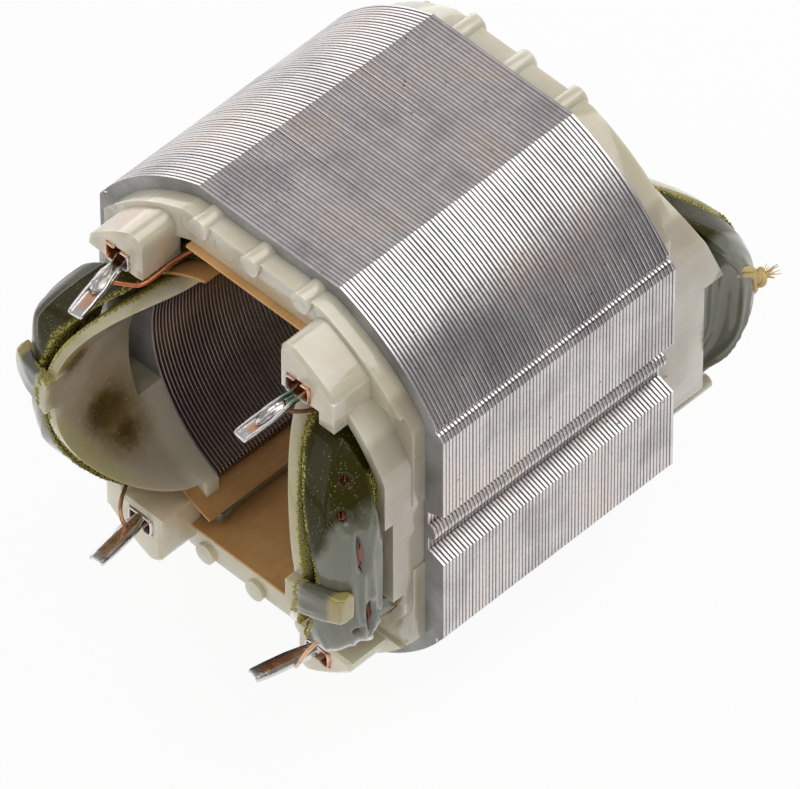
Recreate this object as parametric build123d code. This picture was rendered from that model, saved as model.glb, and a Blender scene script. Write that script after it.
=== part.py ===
from build123d import *
import os
from math import cos, radians, sin, sqrt

# Wound stator of a small two-pole motor. X across the poles, Y along the bore, Z up.
# The terminal end faces -Y, and the origin lies on the bore axis in the middle of the stack.

# Lamination stack
stack_length = 35.0
core_width = 51.0
core_height = 55.8
core_diameter = 59.5
bore_diameter = 35.8
shoe_thickness = 1.4
yoke_thickness = 5.35
throat_half_width = 8.4
neck_half_height = 10.0
notch_radius = 0.55
notch_drop = 1.15
corner_radius = 0.5

# Weld groove in each side
groove_half_width = 3.8
groove_floor_half_width = 2.95
groove_depth = 2.2
groove_rib_radius = 1.1

# Moulded end frames
plate_thickness = 1.8
plate_edge_inset = 1.6
plate_side_half_width = 22.9
plate_recess_half_height = 5.0
plate_recess_depth = 0.6
slot_overhang = 0.3
rim_base_height = 18.0
front_rim_reach = 2.4
rear_rim_reach = 3.2
bead_radius = 1.3
bead_pitch = 7.5
bead_rise = 0.6
flange_clearance = 0.1
flange_thickness = 1.2
flange_half_height = 15.8
flange_reach = 14.5
rear_flange_reach = 16.4
flange_corner_radius = 13.0
pocket_half_height = 6.9
pocket_depth = 3.5
pocket_wall = 1.1
wall_thickness = 1.2
wall_radius = 25.3
wall_side_half_width = 22.7
ear_base_height = 4.3
ear_reach = 5.8
wall_reach = 2.9
rear_ear_reach = 10.3
rear_ear_top_reach = 4.6
rear_wall_reach = 7.4
wall_end_height = 14.5
hook_height = 4.8
hook_middle = 1.2
hook_thickness = 1.4
hook_end_half_width = 24.3
hook_lip = 1.1
peg_radius = 0.9
peg_rise = 2.6

# Terminal sockets on the front frame
socket_reach = 7.8
socket_floor = 2.4
socket_rim_inset = 2.25
socket_inner_height = 18.2
wide_socket_start = 9.2
wide_socket_end = 17.3
wide_mouth_middle = 12.1
narrow_socket_start = 11.4
narrow_socket_end = 19.4
narrow_mouth_middle = 14.6
mouth_height = 19.9
mouth_width = 3.6
mouth_depth = 2.5
socket_corner = 1.5
socket_edge = 0.4
finger_width = 2.2
finger_drop = 2.9
finger_depth = 2.6

# Field coils
coil_clearance = 0.15
coil_outer_radius = 25.0
coil_side_half_width = 23.7
coil_half_height = 16.9
coil_reach = 14.2
rear_coil_reach = 16.2
coil_corner_radius = 13.6
coil_shoulder = 1.6
coil_crest_radius = 3.0

# Slot insulation
liner_thickness = 0.35
liner_projection = 3.2
liner_gap = 0.05
strip_thickness = 0.35
strip_projection = 3.4
strip_gap_angle = 72.0
strip_back_angle = 40.0
strip_gap = 0.08

# Terminal clips, solder and leads
clip_sheet = 0.4
clip_clearance = 0.08
leg_length = 8.7
leg_width = 2.2
leg_depth = 1.1
leg_slit = 0.5
top_leg_drop = 9.0
bottom_leg_drop = 3.0
solder_radius = 1.3
solder_half_length = 1.8
wire_diameter = 0.75
wire_landing = 3.2
wire_gap = 0.05
wire_leave_reach = 10.2
wire_leave_inset = 3.2
wire_leave_drop = 4.4
wire_bend_inset = 4.4
wire_bend_drop = 1.2

# Lacing cord round the rear end turns
lace_diameter = 1.1
lace_height = -2.6
lace_knot_radius = 1.5
lace_knot_angle = 60.0
lace_gap = 0.1

half_stack = stack_length / 2
bore_radius = bore_diameter / 2
shoe_back_radius = bore_radius + shoe_thickness
slot_outer_radius = core_diameter / 2 - yoke_thickness
slot_floor_height = core_height / 2 - yoke_thickness
flange_inner_radius = bore_radius + flange_clearance
flange_outer_radius = flange_inner_radius + flange_thickness
strip_inner_radius = shoe_back_radius + slot_overhang + strip_gap
strip_outer_radius = strip_inner_radius + strip_thickness
coil_inner_radius = max(flange_outer_radius, strip_outer_radius) + coil_clearance
hub_reach = pocket_depth + pocket_wall
socket_outer_radius = core_diameter / 2 - socket_rim_inset
wall_inner_side = wall_side_half_width - wall_thickness

front_face = Plane(origin=(0, -half_stack, 0), x_dir=(1, 0, 0), z_dir=(0, -1, 0))
side_plane = Plane(origin=(0, -half_stack, 0), x_dir=(0, 0, 1), z_dir=(1, 0, 0))
far = 2 * core_diameter


# Outlines seen from the front: sketch x is X and sketch y is Z
def box_outline(left, right, low, high):
    return Pos((left + right) / 2, (low + high) / 2) * Rectangle(right - left, high - low)


def above(height):
    return box_outline(-far, far, height, far)


def below(height):
    return box_outline(-far, far, -far, height)


def right_of(width):
    return box_outline(width, far, -far, far)


def prism(outline, start, end):
    return extrude(front_face.offset(start) * outline, end - start)


def turned(shape):
    return Rot(0, 180, 0) * shape


def to_rear(shape):
    return mirror(shape, about=Plane.XZ)


def sector(radius, low, high):
    reach = 3 * radius
    steps = [radians(low + (high - low) * k / 4) for k in range(5)]
    fan = [(0, 0)] + [(reach * cos(a), reach * sin(a)) for a in steps]
    return make_face(Polyline(*fan, close=True)) & Circle(radius)


# Lamination stack
def slot_outline(inset):
    ring = Circle(slot_outer_radius - inset) - Circle(shoe_back_radius + inset)
    behind_shoes = ring & above(neck_half_height + inset)
    throat_half = throat_half_width - inset
    throat = box_outline(-throat_half, throat_half, neck_half_height, slot_floor_height)
    throat = throat & Circle(slot_outer_radius - inset)
    return (behind_shoes + throat) & below(slot_floor_height - inset)


def groove_outline():
    mouth = core_width / 2
    floor = mouth - groove_depth
    run_out = mouth + groove_depth
    spread = 2 * groove_half_width - groove_floor_half_width
    groove = make_face(Polyline(
        (floor, -groove_floor_half_width),
        (run_out, -spread),
        (run_out, spread),
        (floor, groove_floor_half_width),
        close=True,
    ))
    return groove - Pos(floor, 0) * Circle(groove_rib_radius)


def core_outline():
    blank = Circle(core_diameter / 2) & Rectangle(core_width, core_height)
    pad_top = sqrt((core_diameter / 2) ** 2 - (core_width / 2) ** 2)
    notch_height = pad_top + notch_drop
    notch_x = sqrt((core_diameter / 2) ** 2 - notch_height ** 2) + notch_radius / 4
    for side in (1, -1):
        for end in (1, -1):
            blank = blank - Pos(side * notch_x, end * notch_height) * Circle(notch_radius)
    groove = groove_outline()
    blank = blank - groove - mirror(groove, about=Plane.YZ)
    blank = blank - Circle(bore_radius)
    slot = slot_outline(0)
    return blank - slot - mirror(slot, about=Plane.XZ)


def lamination_stack():
    stack = prism(core_outline(), -stack_length, 0)
    tips = [
        edge for edge in stack.edges().filter_by(Axis.Y)
        if abs(abs((edge @ 0.5).X) - throat_half_width) < 0.05
    ]
    return fillet(tips, min(corner_radius, shoe_thickness / 3))


# End frames, in the front position, with the right half made first
def plate_outline():
    edge = core_height / 2 - plate_edge_inset
    outline = Circle(core_diameter / 2 - plate_edge_inset) & Rectangle(2 * plate_side_half_width, 2 * edge)
    recess_side = plate_side_half_width - plate_recess_depth
    recess = box_outline(recess_side, far, -plate_recess_half_height, plate_recess_half_height)
    outline = outline - recess - mirror(recess, about=Plane.YZ) - Circle(flange_inner_radius)
    slot = slot_outline(slot_overhang)
    return outline - slot - mirror(slot, about=Plane.XZ)


def arch_prism(half_width, foot, reach, corner):
    blank = Pos(0, (foot + reach) / 2) * Rectangle(2 * half_width, reach - foot)
    radius = min(corner, half_width - 0.5, reach - foot - 0.5)
    outline = fillet(blank.vertices().sort_by(Axis.Y)[-2:], radius)
    return extrude(side_plane * outline, far)


def flange(reach):
    ring = (Circle(flange_outer_radius) - Circle(flange_inner_radius)) & right_of(0)
    return prism(ring, 0, reach) & arch_prism(flange_half_height, 0, reach, flange_corner_radius)


def hub():
    half = pocket_half_height + pocket_wall
    block = box_outline(0, wall_side_half_width, -half, half) - Circle(flange_inner_radius)
    return prism(block, 0, hub_reach)


def pocket():
    outline = box_outline(0, wall_inner_side, -pocket_half_height, pocket_half_height)
    return prism(outline, -1, pocket_depth)


def wall_outline(low, high):
    outer = Circle(wall_radius) & box_outline(0, wall_side_half_width, low, high)
    inner = Circle(wall_radius - wall_thickness) & box_outline(0, wall_inner_side, -far, far)
    return outer - inner


def ear(base_reach, top_reach):
    top = socket_inner_height + wall_thickness / 2
    wall = prism(wall_outline(ear_base_height, top), plate_thickness, base_reach)
    slope = make_face(Polyline(
        (ear_base_height, base_reach),
        (top, top_reach),
        (top, far),
        (ear_base_height, far),
        close=True,
    ))
    return wall - extrude(side_plane * slope, far)


def rim(reach):
    beads = []
    top = core_height / 2 - plate_edge_inset
    for x in (-bead_pitch, 0, bead_pitch):
        edge = min(top, sqrt((core_diameter / 2 - plate_edge_inset) ** 2 - x ** 2))
        beads.append(prism(Pos(x, edge - bead_radius / 2) * Circle(bead_radius), 0, reach + bead_rise))
    return [prism(plate_outline() & above(rim_base_height), 0, reach)] + beads


def hook(reach):
    low = -hook_middle - hook_height / 2
    high = -hook_middle + hook_height / 2
    arm = box_outline(0, hook_end_half_width, low, high) - Circle(flange_inner_radius)
    lip = box_outline(hook_end_half_width - hook_lip, hook_end_half_width, low, high)
    return prism(arm, reach, reach + hook_thickness) + prism(lip, reach - hook_lip / 2, reach)


def peg():
    height = -wall_end_height + peg_radius
    middle_radius = wall_radius - peg_radius / 2
    x = min(wall_side_half_width - wall_thickness / 2, sqrt(middle_radius ** 2 - height ** 2))
    return prism(Pos(x, height) * Circle(peg_radius), plate_thickness, rear_wall_reach + peg_rise)


def socket(start, end, mouth_middle):
    outline = box_outline(start, end, socket_inner_height, far) & Circle(socket_outer_radius)
    outline = fillet(outline.vertices().sort_by(Axis.Y)[-2:], socket_corner)
    block = prism(outline, plate_thickness, socket_reach)
    block = chamfer(block.faces().sort_by(Axis.Y)[0].edges(), socket_edge)
    mouth = Pos(mouth_middle, mouth_height) * Rectangle(mouth_width, mouth_depth)
    return block - prism(mouth, socket_floor, socket_reach + 1)


def finger():
    left = wide_socket_end - finger_width
    low = socket_inner_height - finger_drop / 2
    outline = box_outline(left, wide_socket_end, low, socket_inner_height + finger_drop)
    return prism(outline, socket_reach - finger_depth, socket_reach)


def end_frame(reach, ear_heights, low_wall, rim_reach, extras):
    low_side = prism(wall_outline(-wall_end_height, ear_base_height), plate_thickness, low_wall)
    half = [flange(reach), hub(), ear(*ear_heights), low_side] + rim(rim_reach) + extras
    body = prism(plate_outline(), 0, plate_thickness)
    for piece in half:
        body = body + piece + turned(piece)
    return body - pocket() - turned(pocket())


def front_end_frame():
    wide = socket(wide_socket_start, wide_socket_end, wide_mouth_middle)
    narrow = mirror(socket(narrow_socket_start, narrow_socket_end, narrow_mouth_middle), about=Plane.YZ)
    extras = [hook(flange_reach), wide, narrow, finger()]
    return end_frame(flange_reach, (ear_reach, ear_reach), wall_reach, front_rim_reach, extras)


def rear_end_frame():
    heights = (rear_ear_reach, rear_ear_top_reach)
    return to_rear(end_frame(rear_flange_reach, heights, rear_wall_reach, rear_rim_reach, [peg()]))


# Field coils
def coil_side_outline():
    inset = slot_overhang + liner_thickness + 2 * coil_clearance
    ring = Circle(slot_outer_radius - inset) - Circle(coil_inner_radius)
    side = ring & sector(far, 0, strip_gap_angle) & above(neck_half_height + inset)
    return side & below(slot_floor_height - inset)


def coil_end(reach, wall):
    base = wall + 2 * coil_clearance
    inner_side = wall_inner_side - 2 * coil_clearance
    section = make_face(Polyline(
        (0, 0),
        (inner_side, 0),
        (inner_side, -base),
        (coil_side_half_width, -base - coil_shoulder),
        (coil_side_half_width, -reach),
        (0, -reach),
        close=True,
    ))
    crest = section.vertices().sort_by_distance((coil_side_half_width, -reach, 0))[0]
    profile = Pos(0, -half_stack, 0) * fillet(crest, coil_crest_radius)
    lower = Circle(wall_radius - wall_thickness - 2 * coil_clearance) - Circle(coil_inner_radius)
    upper = Circle(coil_outer_radius) - Circle(coil_inner_radius)
    shell = prism(lower & right_of(0), plate_thickness, base) + prism(upper & right_of(0), base, reach)
    arch = arch_prism(coil_half_height, plate_thickness, reach, coil_corner_radius)
    core = pocket_half_height + pocket_wall + 2 * coil_clearance
    hole = prism(box_outline(0, far, -core, core), 0, hub_reach + 2 * coil_clearance)
    return (shell & extrude(profile, far, both=True) & arch) - hole


def field_coil():
    side = coil_side_outline()
    start = -stack_length - plate_thickness
    coil = coil_end(coil_reach, ear_reach) + to_rear(coil_end(rear_coil_reach, rear_ear_reach))
    for outline in (side, mirror(side, about=Plane.XZ)):
        coil = coil + prism(outline, start, plate_thickness)
    return coil


# Slot insulation
def slot_liner():
    outer = slot_overhang + liner_gap
    inner = outer + liner_thickness
    deep = Circle(slot_outer_radius - outer) & below(slot_floor_height - outer)
    hollow = Circle(slot_outer_radius - inner) & below(slot_floor_height - inner)
    band = (deep - hollow) & above(neck_half_height + inner)
    tongue_half = min(wide_socket_start, narrow_socket_start) - 2 * liner_gap
    tongue = band & box_outline(-tongue_half, tongue_half, 0, far)
    lining = prism(band, -stack_length - plate_thickness, plate_thickness)
    return lining + prism(tongue, -stack_length - liner_projection, liner_projection)


def closing_strip():
    ring = Circle(strip_outer_radius) - Circle(strip_inner_radius)
    outline = ring & sector(far, strip_back_angle, strip_gap_angle)
    return prism(outline, -stack_length - strip_projection, strip_projection)


# Terminal clips: a folded box in the socket and a channel leg that takes the wire
def leg_frame(x, z, drop):
    side = 1 if z > 0 else -1
    root_z = z - side * (mouth_depth / 2 - clip_clearance - leg_depth / 2)
    root = (x, -half_stack - socket_reach + clip_sheet, root_z)
    down = radians(drop)
    return Plane(origin=root, x_dir=(1, 0, 0), z_dir=(0, -cos(down), -sin(down)))


def terminal_clip(x, z, drop):
    outer = Pos(x, z) * Rectangle(mouth_width - 2 * clip_clearance, mouth_depth - 2 * clip_clearance)
    inner_width = mouth_width - 2 * clip_clearance - 2 * clip_sheet
    inner = Pos(x, z) * Rectangle(inner_width, mouth_depth - 2 * clip_clearance - 2 * clip_sheet)
    box = prism(outer - inner, socket_floor + clip_clearance, socket_reach)
    hollow = Rectangle(leg_width - 2 * clip_sheet, leg_depth - 2 * clip_sheet)
    section = Rectangle(leg_width, leg_depth) - hollow
    slit = Pos(leg_width / 4, leg_depth / 2) * Rectangle(leg_slit, leg_depth)
    return box + extrude(leg_frame(x, z, drop) * (section - slit), leg_length)


def landing_spot(x, z, drop, along):
    side = 1 if z > 0 else -1
    leg = leg_frame(x, z, drop)
    lift = leg_depth / 2 + wire_diameter / 2 + wire_gap
    return leg.origin + leg.z_dir * along - Vector(0, 0, side * lift)


def lead_wire(x, z, drop, coil_end_points, coil):
    steps = (wire_landing - solder_half_length, wire_landing + solder_half_length)
    landing = [landing_spot(x, z, drop, along) for along in steps]
    path = FilletPolyline(*coil_end_points, *landing, radius=wire_diameter)
    start = Plane(origin=path @ 0, z_dir=path % 0)
    wire = sweep(start * Circle(wire_diameter / 2), path=path) - coil
    return wire.solids().sort_by(SortBy.VOLUME)[-1]


def solder_joint(x, z, drop, clip, wire):
    pool = leg_frame(x, z, drop).offset(wire_landing) * Circle(solder_radius)
    bead = extrude(pool, solder_half_length, both=True)
    bead = fillet(bead.edges(), solder_radius / 2) - clip - wire
    return bead.solids().sort_by(SortBy.VOLUME)[-1]


# Lacing cord over the rear end turns
def lacing():
    crest = half_stack + rear_coil_reach
    off = lace_diameter / 2 + lace_gap
    outside = coil_side_half_width + off
    low = half_stack + rear_ear_reach + coil_shoulder
    path = FilletPolyline(
        (coil_inner_radius, crest + off, lace_height),
        (outside, crest + off, lace_height),
        (outside, low, lace_height),
        radius=coil_crest_radius + off,
    )
    start = Plane(origin=path @ 0, z_dir=path % 0)
    cord = sweep(start * Circle(lace_diameter / 2), path=path)
    angle = radians(lace_knot_angle)
    out = coil_crest_radius + lace_gap + lace_knot_radius
    knot_x = coil_side_half_width - coil_crest_radius + out * cos(angle)
    knot_y = crest - coil_crest_radius + out * sin(angle)
    knot = Pos(knot_x, knot_y, lace_height) * Sphere(lace_knot_radius)
    return cord + knot


# Where each terminal sits: clip middle, leg drop and the wire's way from its coil
terminals = {
    "top_right": (wide_mouth_middle, mouth_height, top_leg_drop),
    "top_left": (-narrow_mouth_middle, mouth_height, top_leg_drop),
    "bottom_left": (-wide_mouth_middle, -mouth_height, bottom_leg_drop),
    "bottom_right": (narrow_mouth_middle, -mouth_height, bottom_leg_drop),
}


def wire_start(x, z):
    side = 1 if x > 0 else -1
    end = 1 if z > 0 else -1
    mouth_y = -half_stack - socket_reach
    coil_y = -half_stack - wire_leave_reach
    under = socket_inner_height - wire_diameter
    leave_x = side * (coil_inner_radius - wire_leave_inset)
    bend_x = side * (coil_inner_radius - wire_bend_inset)
    return [
        (leave_x, coil_y, end * (under - wire_leave_drop)),
        (bend_x, mouth_y - wire_diameter, end * (under - wire_bend_drop)),
    ]


def save(name, shape):
    export_step(shape, f"parts/{name}.step")
    print(name, len(shape.solids()), round(shape.volume, 1))


os.makedirs("parts", exist_ok=True)
right_coil = field_coil()
left_coil = turned(right_coil)
liner = slot_liner()
strip = closing_strip()
lace = lacing()
save("lamination_stack", lamination_stack())
save("front_end_frame", front_end_frame())
save("rear_end_frame", rear_end_frame())
save("right_field_coil", right_coil)
save("left_field_coil", left_coil)
save("top_slot_liner", liner)
save("bottom_slot_liner", turned(liner))
save("top_right_closing_strip", strip)
save("top_left_closing_strip", mirror(strip, about=Plane.YZ))
save("bottom_left_closing_strip", turned(strip))
save("bottom_right_closing_strip", turned(mirror(strip, about=Plane.YZ)))
save("right_coil_lacing", lace)
save("left_coil_lacing", turned(lace))
for place, (x, z, drop) in terminals.items():
    clip = terminal_clip(x, z, drop)
    wire = lead_wire(x, z, drop, wire_start(x, z), right_coil if x > 0 else left_coil)
    save(f"{place}_terminal_clip", clip)
    save(f"{place}_lead_wire", wire)
    save(f"{place}_solder_joint", solder_joint(x, z, drop, clip, wire))
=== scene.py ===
import math
import random

import bmesh
import bpy
from mathutils import Matrix, Vector, noise
from mathutils.bvhtree import BVHTree


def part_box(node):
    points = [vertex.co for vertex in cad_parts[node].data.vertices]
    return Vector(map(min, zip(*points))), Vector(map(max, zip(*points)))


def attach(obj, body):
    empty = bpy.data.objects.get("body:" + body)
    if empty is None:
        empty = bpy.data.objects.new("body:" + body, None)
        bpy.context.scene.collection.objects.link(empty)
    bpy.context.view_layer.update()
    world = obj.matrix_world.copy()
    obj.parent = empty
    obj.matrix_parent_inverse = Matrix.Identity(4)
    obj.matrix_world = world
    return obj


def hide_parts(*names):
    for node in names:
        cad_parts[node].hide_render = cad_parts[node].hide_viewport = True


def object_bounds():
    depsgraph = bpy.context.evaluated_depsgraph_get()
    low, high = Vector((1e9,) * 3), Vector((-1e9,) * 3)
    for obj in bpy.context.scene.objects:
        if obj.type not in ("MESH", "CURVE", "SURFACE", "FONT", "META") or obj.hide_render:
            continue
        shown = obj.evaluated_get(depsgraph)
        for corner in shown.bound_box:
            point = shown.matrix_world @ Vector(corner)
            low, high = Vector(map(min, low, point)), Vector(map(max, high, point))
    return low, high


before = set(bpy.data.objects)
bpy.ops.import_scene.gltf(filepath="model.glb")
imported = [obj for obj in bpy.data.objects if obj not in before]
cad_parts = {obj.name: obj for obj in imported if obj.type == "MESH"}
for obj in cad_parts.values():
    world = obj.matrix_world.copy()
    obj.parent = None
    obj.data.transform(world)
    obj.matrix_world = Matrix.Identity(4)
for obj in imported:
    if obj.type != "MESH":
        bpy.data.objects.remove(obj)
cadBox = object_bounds()
mm = 0.001
weldReach = 0.002 * mm


# small helpers

def boxOf(node):
    low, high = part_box(node)
    return Vector(low), Vector(high)


def finish(obj, slotName, *nodes):
    # every piece rides on the one body, and may stand for a plain node
    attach(obj, "root")
    if nodes:
        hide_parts(*nodes)
    return obj


def linked(name, data):
    obj = bpy.data.objects.new(name, data)
    bpy.context.scene.collection.objects.link(obj)
    return obj


def coatWith(mesh, material):
    mesh.materials.clear()
    mesh.materials.append(material)


def meshPiece(name, bm, material, smooth=True):
    mesh = bpy.data.meshes.new(name)
    bm.to_mesh(mesh)
    bm.free()
    for face in mesh.polygons:
        face.use_smooth = smooth
    mesh.materials.append(material)
    return linked(name, mesh)


def mergedCopy(node):
    # a CAD node's mesh is loose triangles, so its corners are joined first
    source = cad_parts[node]
    bm = bmesh.new()
    bm.from_mesh(source.data)
    bmesh.ops.transform(bm, matrix=source.matrix_world, verts=bm.verts)
    bmesh.ops.remove_doubles(bm, verts=bm.verts, dist=weldReach)
    return bm


def settle(obj):
    # turns live modifiers into plain mesh
    graph = bpy.context.evaluated_depsgraph_get()
    mesh = bpy.data.meshes.new_from_object(obj.evaluated_get(graph))
    obj.modifiers.clear()
    old = obj.data
    obj.data = mesh
    if isinstance(old, bpy.types.Mesh):
        bpy.data.meshes.remove(old)
    return obj


def inputsOf(tree):
    return {s.name: s.identifier for s in tree.interface.items_tree if s.in_out == "INPUT"}


def newTree(name, sockets):
    tree = bpy.data.node_groups.new(name, "GeometryNodeTree")
    tree.interface.new_socket(name="Geometry", in_out="INPUT", socket_type="NodeSocketGeometry")
    for label, kind in sockets:
        tree.interface.new_socket(name=label, in_out="INPUT", socket_type="NodeSocket" + kind)
    tree.interface.new_socket(name="Geometry", in_out="OUTPUT", socket_type="NodeSocketGeometry")
    given = tree.nodes.new("NodeGroupInput")
    result = tree.nodes.new("NodeGroupOutput")
    return tree, given, result


def runTree(obj, tree, values):
    modifier = obj.modifiers.new(tree.name, "NODES")
    modifier.node_group = tree
    sockets = inputsOf(tree)
    for label, value in values.items():
        modifier[sockets[label]] = value
    return settle(obj)


def feed(tree, socket, value):
    # a socket gets a link, a number, or a colour that still lacks its alpha
    if isinstance(value, bpy.types.NodeSocket):
        tree.links.new(value, socket)
    elif socket.type == "RGBA" and isinstance(value, tuple):
        socket.default_value = (*value, 1.0)
    else:
        socket.default_value = value


def addNode(tree, kind, inputs, **settings):
    node = tree.nodes.new(kind)
    for name, setting in settings.items():
        setattr(node, name, setting)
    for label, value in inputs.items():
        feed(tree, node.inputs[label], value)
    return node


def mathNode(tree, operation, first, second=0):
    return addNode(tree, "ShaderNodeMath", {0: first, 1: second}, operation=operation).outputs[0]


def times(tree, first, second):
    return mathNode(tree, "MULTIPLY", first, second)


def plus(tree, first, second):
    return mathNode(tree, "ADD", first, second)


def minus(tree, first, second):
    return mathNode(tree, "SUBTRACT", first, second)


def storeValues(mesh, name, values):
    # one number for each corner, read by the material
    layer = mesh.attributes.new(name, "FLOAT", "POINT")
    layer.data.foreach_set("value", values)


def clamped(value, low=0.0, high=1.0):
    return min(high, max(low, value))


def endRealised(tree, given, result, instances):
    # instances become plain mesh with the finish that the tree was given
    real = addNode(tree, "GeometryNodeRealizeInstances", {0: instances})
    coat = addNode(tree, "GeometryNodeSetMaterial", {
        "Geometry": real.outputs[0], "Material": given.outputs["Finish"],
    })
    tree.links.new(coat.outputs[0], result.inputs["Geometry"])
    return tree


# material helpers

def startMaterial(name):
    material = bpy.data.materials.new(name)
    material.use_nodes = True
    tree = material.node_tree
    shader = tree.nodes["Principled BSDF"]
    place = tree.nodes.new("ShaderNodeTexCoord").outputs["Object"]
    return material, tree, shader, place


def setShader(tree, shader, values):
    for label, value in values.items():
        feed(tree, shader.inputs[label], value)


def stretched(tree, place, scale):
    return addNode(tree, "ShaderNodeMapping", {"Scale": scale, "Vector": place}).outputs["Vector"]


def cloud(tree, place, scale, detail=4.0, roughness=0.55):
    return addNode(tree, "ShaderNodeTexNoise", {
        "Vector": place, "Scale": scale, "Detail": detail, "Roughness": roughness,
    }).outputs["Fac"]


def cells(tree, place, scale):
    return addNode(tree, "ShaderNodeTexVoronoi", {"Vector": place, "Scale": scale}).outputs["Distance"]


def coordinate(tree, place, axis):
    return addNode(tree, "ShaderNodeSeparateXYZ", {0: place}).outputs[axis]


def unsigned(tree, value):
    return mathNode(tree, "ABSOLUTE", value)


def distanceFromAxis(tree, place):
    across = mathNode(tree, "POWER", coordinate(tree, place, "X"), 2)
    height = mathNode(tree, "POWER", coordinate(tree, place, "Z"), 2)
    return mathNode(tree, "SQRT", plus(tree, across, height))


def between(tree, value, low, high):
    # 0 below the low value, 1 above the high one
    return addNode(tree, "ShaderNodeMapRange", {
        "Value": value, "From Min": low, "From Max": high,
    }, interpolation_type="SMOOTHSTEP").outputs["Result"]


def spot(tree, place, middle, inner, outer, ragged=0.0):
    # 1 near a point, fading to 0, with a ragged rim
    node = addNode(tree, "ShaderNodeVectorMath", {0: place, 1: middle}, operation="DISTANCE")
    reach = node.outputs["Value"]
    if ragged:
        wander = minus(tree, cloud(tree, place, 700, 5, 0.7), 0.5)
        reach = plus(tree, reach, times(tree, wander, ragged))
    return minus(tree, 1, between(tree, reach, inner, outer))


def readAttribute(tree, name):
    return addNode(tree, "ShaderNodeAttribute", {}, attribute_name=name).outputs["Fac"]


def ramp(tree, value, stops):
    node = tree.nodes.new("ShaderNodeValToRGB")
    elements = node.color_ramp.elements
    while len(elements) < len(stops):
        elements.new(0.5)
    for element, (position, colour) in zip(elements, stops):
        element.position = position
        if isinstance(colour, (int, float)):
            colour = (colour, colour, colour)
        element.color = (*colour, 1.0)
    tree.links.new(value, node.inputs["Fac"])
    return node.outputs["Color"]


def mixColour(tree, factor, first, second, blend="MIX"):
    inputs = {0: factor, 6: first, 7: second}
    return addNode(tree, "ShaderNodeMix", inputs, data_type="RGBA", blend_type=blend).outputs[2]


def painted(tree, colour, mask, paint, share=1.0, blend="MIX"):
    # paint over a colour where the mask is 1, at most by the share
    if share < 1:
        mask = times(tree, mask, share)
    return mixColour(tree, mask, colour, paint, blend)


def addBump(tree, shader, height, distance):
    bump = addNode(tree, "ShaderNodeBump", {"Distance": distance, "Height": height})
    tree.links.new(bump.outputs["Normal"], shader.inputs["Normal"])


# camera, floor and light

def cameraAxes(turn, rise, roll):
    back = Vector((math.sin(turn) * math.cos(rise), -math.cos(turn) * math.cos(rise), math.sin(rise)))
    right = Vector((math.cos(turn), math.sin(turn), 0))
    up = back.cross(right)
    turnedRight = math.cos(roll) * right + math.sin(roll) * up
    turnedUp = -math.sin(roll) * right + math.cos(roll) * up
    return turnedRight, turnedUp, back


view = {
    "turn": math.radians(44.85),
    "rise": math.radians(47.89),
    "roll": math.radians(-0.24),
    "distance": 1.5,
    "slide": (0.00132, -0.00697),
    "lens": 635.1,
}


def placeCamera():
    right, up, back = cameraAxes(view["turn"], view["rise"], view["roll"])
    data = bpy.data.cameras.new("photoCamera")
    data.lens = view["lens"]
    data.sensor_width = 36
    data.clip_start = 0.05
    data.clip_end = 20
    camera = linked("photoCamera", data)
    place = back * view["distance"] + right * view["slide"][0] + up * view["slide"][1]
    turn = Matrix((right, up, back)).transposed()
    camera.matrix_world = Matrix.Translation(place) @ turn.to_4x4()
    bpy.context.scene.camera = camera


floorLook = {"size": 3.0, "colour": (0.92, 0.92, 0.92), "white": 0.93, "drop": 0.02 * mm}


def makeFloor():
    bm = bmesh.new()
    half = floorLook["size"] / 2
    height = cadBox[0][2] - floorLook["drop"]
    corners = [(-half, -half), (half, -half), (half, half), (-half, half)]
    bm.faces.new([bm.verts.new((x, y, height)) for x, y in corners])
    material, tree, shader, _ = startMaterial("floorPaper")
    setShader(tree, shader, {"Base Color": floorLook["colour"], "Roughness": 0.9, "Specular IOR Level": 0.1})
    path = tree.nodes.new("ShaderNodeLightPath")
    seen = times(tree, path.outputs["Is Camera Ray"], floorLook["white"])
    seen = mathNode(tree, "MAXIMUM", seen, path.outputs["Is Glossy Ray"])
    seen = mathNode(tree, "MAXIMUM", seen, path.outputs["Is Transmission Ray"])
    glow = addNode(tree, "ShaderNodeEmission", {"Color": (1, 1, 1)})
    mix = addNode(tree, "ShaderNodeMixShader", {"Fac": seen, 1: shader.outputs[0], 2: glow.outputs[0]})
    tree.links.new(mix.outputs[0], tree.nodes["Material Output"].inputs["Surface"])
    floor = meshPiece("floor", bm, material, smooth=False)


lamps = {
    "overhead": {"aim": (0.22, 0.30, 0.92), "distance": 0.32, "size": 0.26, "watts": 0.46},
    "leftBack": {"aim": (-0.90, 0.40, 0.12), "distance": 0.5, "size": 0.40, "watts": 0.60},
    "frontFill": {"aim": (-0.50, -0.75, 0.55), "distance": 0.7, "size": 0.60, "watts": 0.9},
    "rightFill": {"aim": (0.95, -0.45, 0.25), "distance": 0.7, "size": 0.40, "watts": 0.5},
}
worldLook = {"plain": (0.44, 0.43, 0.44), "dark": (0.20, 0.20, 0.21), "darkFrom": (0.45, 0.85)}


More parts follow.
